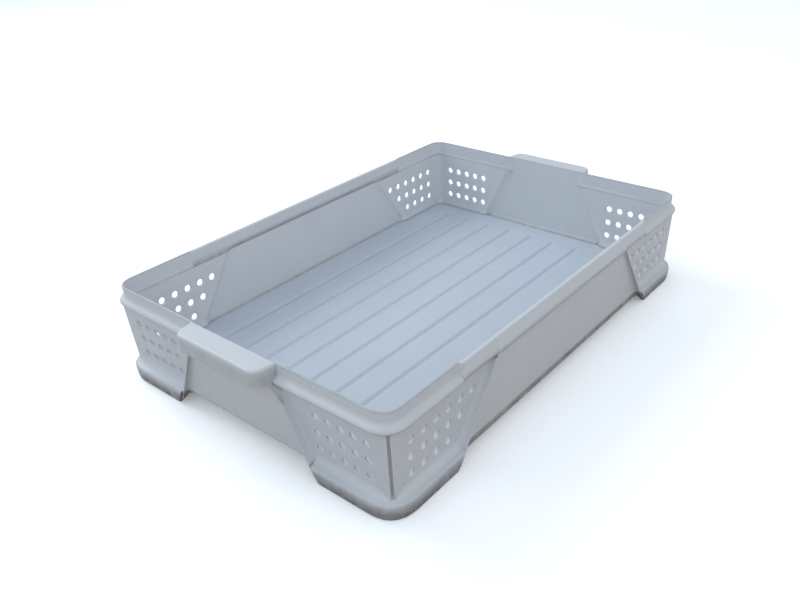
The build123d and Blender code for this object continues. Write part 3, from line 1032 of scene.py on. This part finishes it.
@dataclass
class Handles:
    """Hand holds at the two ends: a plate with a lip turned down round it, and a curved web at each side."""

    root_half: float = 61.6
    tip_half: float = 57.0
    corner: float = 9.0
    edge_round: float = 3.2
    lip_depth: float = 18.5
    thickness: float = 2.8
    web_reach: float = 8.5
    web_depth: float = 18.0
    web_width: float = 2.3
    web_toe: float = 0.3
    web_root: float = 2.0  # how far the webs reach into the ribs and the lip
    web_round: float = 0.6
    web_shift: float = 0.6
    web_drift: float = 1.5
    web_steps: int = 8

    def build(self, material: bpy.types.Material) -> None:
        """Fold the lip down from the plate, thicken both and add the webs."""
        mould = Mould()
        high = SIZES.height
        root = SIZES.end_face(high) - SIZES.wall
        corners = [
            Corner(root, self.root_half), Corner(SIZES.handle_tip, self.tip_half, self.corner, 8),
            Corner(SIZES.handle_tip, -self.tip_half, self.corner, 8), Corner(root, -self.root_half)]
        plate = mould.section(corners, lambda along, across: Vector((along, across, high)))
        brim = [edge for edge in plate.edges if any(vert.co.x > root + MERGE for vert in edge.verts)]
        mould.extrude(brim, (0.0, 0.0, -self.lip_depth))
        bmesh.ops.bevel(
            mould.bm, geom=brim, offset=self.edge_round, offset_type="OFFSET", affect="EDGES", segments=5,
            profile=0.5, material=-1)
        bmesh.ops.recalc_face_normals(mould.bm, faces=mould.bm.faces)
        bmesh.ops.solidify(mould.bm, geom=mould.bm.faces, thickness=self.thickness)
        self.webs(mould)
        mould.tidy()
        for hand in Hand:
            name = hand.name.lower()
            mould.turn_out(f"folded_handle_{name}", material, [f"handle_{name}"], hand=hand)

    def webs(self, mould: Mould) -> None:
        """Curved web under each side of the lip, which carries the slanted rib below it out to the lip."""
        lip = SIZES.height - self.lip_depth
        crest = SIZES.half_length - SIZES.rib_inset
        length = SIZES.handle_tip - SIZES.end_face(SIZES.height) + SIZES.wall
        lean = (self.root_half - self.tip_half) / length
        for side in (1.0, -1.0):
            faces: list[BMFace] = []
            for k in range(self.web_steps + 2):
                share = min(1.0, k / self.web_steps)
                turn = TURN / 4 * share
                z = lip - self.web_depth * (1.0 - math.sin(turn))
                reach = self.web_reach - (self.web_reach - self.web_toe) * math.cos(turn)
                root = SIZES.end_edge(z) + self.web_shift - self.web_drift * share
                tip = root - lean * reach
                corners = [
                    Corner(crest - self.web_root, root - self.web_width),
                    Corner(crest + reach, tip - self.web_width, self.web_round, 3),
                    Corner(crest + reach, tip, self.web_round, 3), Corner(crest - self.web_root, root)]
                level = z if k <= self.web_steps else lip + self.web_root
                faces.append(mould.section(
                    corners, lambda along, across: Vector((along, side * across, level))))
            mould.loft(faces)


@dataclass(frozen=True)
class Pane:
    """Square soft lamp: its direction, its side and distance in metres, its watts and its colour."""

    name: str
    towards: tuple[float, float, float]
    size: float
    watts: float
    colour: tuple[float, float, float]
    distance: float


@dataclass
class Studio:
    """Pale floor, soft light and the camera at the photograph's viewing angle."""

    focal_px: float = 777.53
    width_px: float = 800.0
    height_px: float = 600.0
    axis_px: tuple[float, float] = (427.29, 312.30)
    azimuth: float = -50.007
    elevation: float = 30.867
    roll: float = -2.474
    distance: float = 959.59
    target: tuple[float, float, float] = (6.24, -1.11, 6.76)
    sensor: float = 36.0
    ground_half_m: float = 12.0
    bounce: str = "#91887F"
    glow: float = 0.22
    horizon: tuple[float, float, float] = (0.62, 0.60, 0.58)
    zenith: tuple[float, float, float] = (0.63, 0.76, 0.90)
    sky_from: tuple[float, float, float] = (-0.2, -0.1, 0.97)
    panes: Sequence[Pane] = (
        Pane("window_behind", (-0.05, 0.76, 0.65), 1.3, 26.0, (0.87, 0.95, 1.0), 2.6),
        Pane("pale_wall_in_front", (0.0, -0.88, 0.47), 1.4, 7.2, (1.0, 0.94, 0.89), 2.6),
        Pane("window_at_left", (-0.94, -0.12, 0.32), 0.6, 0.6, (0.90, 0.96, 1.0), 0.95))

    def camera(self) -> None:
        """Camera with the photograph's lens, place and framing."""
        data = bpy.data.cameras.new("photograph_view")
        data.sensor_width = self.sensor
        data.lens = self.focal_px / self.width_px * self.sensor
        data.shift_x = (self.width_px / 2 - self.axis_px[0]) / self.width_px
        data.shift_y = (self.axis_px[1] - self.height_px / 2) / self.width_px
        turn, lift, roll = (math.radians(value) for value in (self.azimuth, self.elevation, self.roll))
        back = Vector((math.sin(turn) * math.cos(lift), -math.cos(turn) * math.cos(lift), math.sin(lift)))
        right = Vector((math.cos(turn), math.sin(turn), 0.0))
        up = back.cross(right)
        rolled_right = math.cos(roll) * right + math.sin(roll) * up
        rolled_up = math.cos(roll) * up - math.sin(roll) * right
        camera = bpy.data.objects.new("photograph_view", data)
        facing = Matrix((rolled_right, rolled_up, back)).transposed().to_4x4()
        camera.matrix_world = Matrix.Translation((Vector(self.target) + back * self.distance) * MM) @ facing
        bpy.context.scene.collection.objects.link(camera)
        bpy.context.scene.camera = camera

    def backdrop(self) -> None:
        """White floor to the eye, which throws back only as much light as a table top would."""
        mesh = bpy.data.meshes.new("studio_floor")
        bm = bmesh.new()
        bmesh.ops.create_grid(bm, x_segments=1, y_segments=1, size=self.ground_half_m)
        bm.to_mesh(mesh)
        bm.free()
        ground = bpy.data.objects.new("studio_floor", mesh)
        material = bpy.data.materials.new("matt_white_paper")
        material.use_nodes = True
        tree = material.node_tree
        tree.nodes.clear()
        rays = add_node(tree, "ShaderNodeLightPath")
        seen = add_node(
            tree, "ShaderNodeMath", {"operation": "MAXIMUM"},
            {0: rays.outputs["Is Camera Ray"], 1: rays.outputs["Is Glossy Ray"]})
        seen = add_node(
            tree, "ShaderNodeMath", {"operation": "MAXIMUM"},
            {0: seen.outputs[0], 1: rays.outputs["Is Transmission Ray"]})
        dull = add_node(tree, "ShaderNodeBsdfDiffuse", {"Color": linear(self.bounce)})
        paper = add_node(tree, "ShaderNodeBsdfDiffuse", {"Color": linear("#FFFFFF")})
        glow = add_node(tree, "ShaderNodeEmission", {"Color": linear("#FFFFFF"), "Strength": self.glow})
        white = add_node(tree, "ShaderNodeAddShader", links={0: paper.outputs[0], 1: glow.outputs[0]})
        both = add_node(
            tree, "ShaderNodeMixShader", links={0: seen.outputs[0], 1: dull.outputs[0], 2: white.outputs[0]})
        add_node(tree, "ShaderNodeOutputMaterial", links={"Surface": both.outputs[0]})
        mesh.materials.append(material)
        bpy.context.scene.collection.objects.link(ground)

    def sky(self) -> None:
        """Soft surroundings, neutral all round and cooler and brighter overhead."""
        world = bpy.data.worlds.new("soft_surroundings")
        world.use_nodes = True
        tree = world.node_tree
        tree.nodes.clear()
        looking = add_node(tree, "ShaderNodeTexCoord").outputs["Generated"]
        towards = add_node(
            tree, "ShaderNodeVectorMath", {"operation": "DOT_PRODUCT", 1: Vector(self.sky_from).normalized()},
            {0: looking})
        share = add_node(
            tree, "ShaderNodeMapRange", {1: 0.0, 2: 1.0, 3: 0.0, 4: 1.0}, {0: towards.outputs["Value"]})
        colour = add_node(
            tree, "ShaderNodeMix", {"data_type": "RGBA", 6: (*self.horizon, 1.0), 7: (*self.zenith, 1.0)},
            {0: share.outputs[0]})
        background = add_node(tree, "ShaderNodeBackground", links={"Color": colour.outputs[2]})
        add_node(tree, "ShaderNodeOutputWorld", links={"Surface": background.outputs[0]})
        bpy.context.scene.world = world
        bpy.context.scene.view_settings.view_transform = "Standard"

    def lamp(self, pane: Pane) -> None:
        """Large soft lamp that faces the crate.

        Args:
            pane: Its place, size and light.
        """
        data = bpy.data.lights.new(pane.name, "AREA")
        data.shape = "SQUARE"
        data.size = pane.size
        data.energy = pane.watts
        data.color = pane.colour
        lamp = bpy.data.objects.new(pane.name, data)
        lamp.visible_camera = False
        aim = Vector(pane.towards).normalized()
        facing = aim.to_track_quat("Z", "Y").to_matrix().to_4x4()
        lamp.matrix_world = Matrix.Translation(aim * pane.distance) @ facing
        bpy.context.scene.collection.objects.link(lamp)

    def build(self) -> None:
        """Set up camera, floor and light."""
        self.camera()
        self.backdrop()
        self.sky()
        for pane in self.panes:
            self.lamp(pane)


def main() -> None:
    """Build every sub-assembly in order, then the studio."""
    logging.basicConfig(level=logging.INFO, format="%(message)s")
    # Walls: darker towards the bottom, painted shade of the dark ground near it with some soil.
    walls = PolyethyleneFinish(
        "moulded_polyethylene_wall", bands=[SoilAndShadeBand("#6A6764", 0.95, 15.5, 20.5)]).build()
    # Floor: a darker, bluer copy of the wall's plastic, which paints shade and a cool sky reflection, with
    # painted shade deeper in the grooves.
    floor = PolyethyleneFinish(
        "moulded_polyethylene_floor", colour="#C8CDD4", cloud="#BFC5CE",
        bands=[SoilAndShadeBand("#8A929D", 0.25, 15.4, 16.75)]).build()
    # Feet: darker towards the bottom, painted shade of the dark ground with some soil.
    feet = PolyethyleneFinish(
        "moulded_polyethylene_foot", bands=[SoilAndShadeBand("#4A463F", 1.0, 3.0, 22.0)]).build()
    # Side rims: darker towards the roll's lower edge, a painted shadow under it.
    rims = PolyethyleneFinish(
        "moulded_polyethylene_rim", bands=[SoilAndShadeBand("#7E7C7A", 0.8, 94.0, 103.0)]).build()
    # Collars: darker towards the lip's lower edge, a painted shadow under it, and rubbed grey at the top.
    collars = PolyethyleneFinish(
        "moulded_polyethylene_collar",
        bands=[SoilAndShadeBand("#7E7C7A", 0.5, 93.5, 98.0), SoilAndShadeBand("#9FA1A4", 0.75, 114.0, 111.5)]).build()
    # Handles: darker down the turned-down lip, painted shade on its sides.
    handles = PolyethyleneFinish(
        "moulded_polyethylene_handle", bands=[SoilAndShadeBand("#8E8C88", 0.5, 104.0, 118.0)]).build()
    Floor().build(floor)
    SideWalls().build(walls)
    EndWalls().build(walls)
    CornerPanels().build(walls)
    Feet().build(feet)
    CornerRims().build(collars)
    SideRims().build(rims)
    Handles().build(handles)
    Studio().build()


if __name__ == "__main__":
    main()
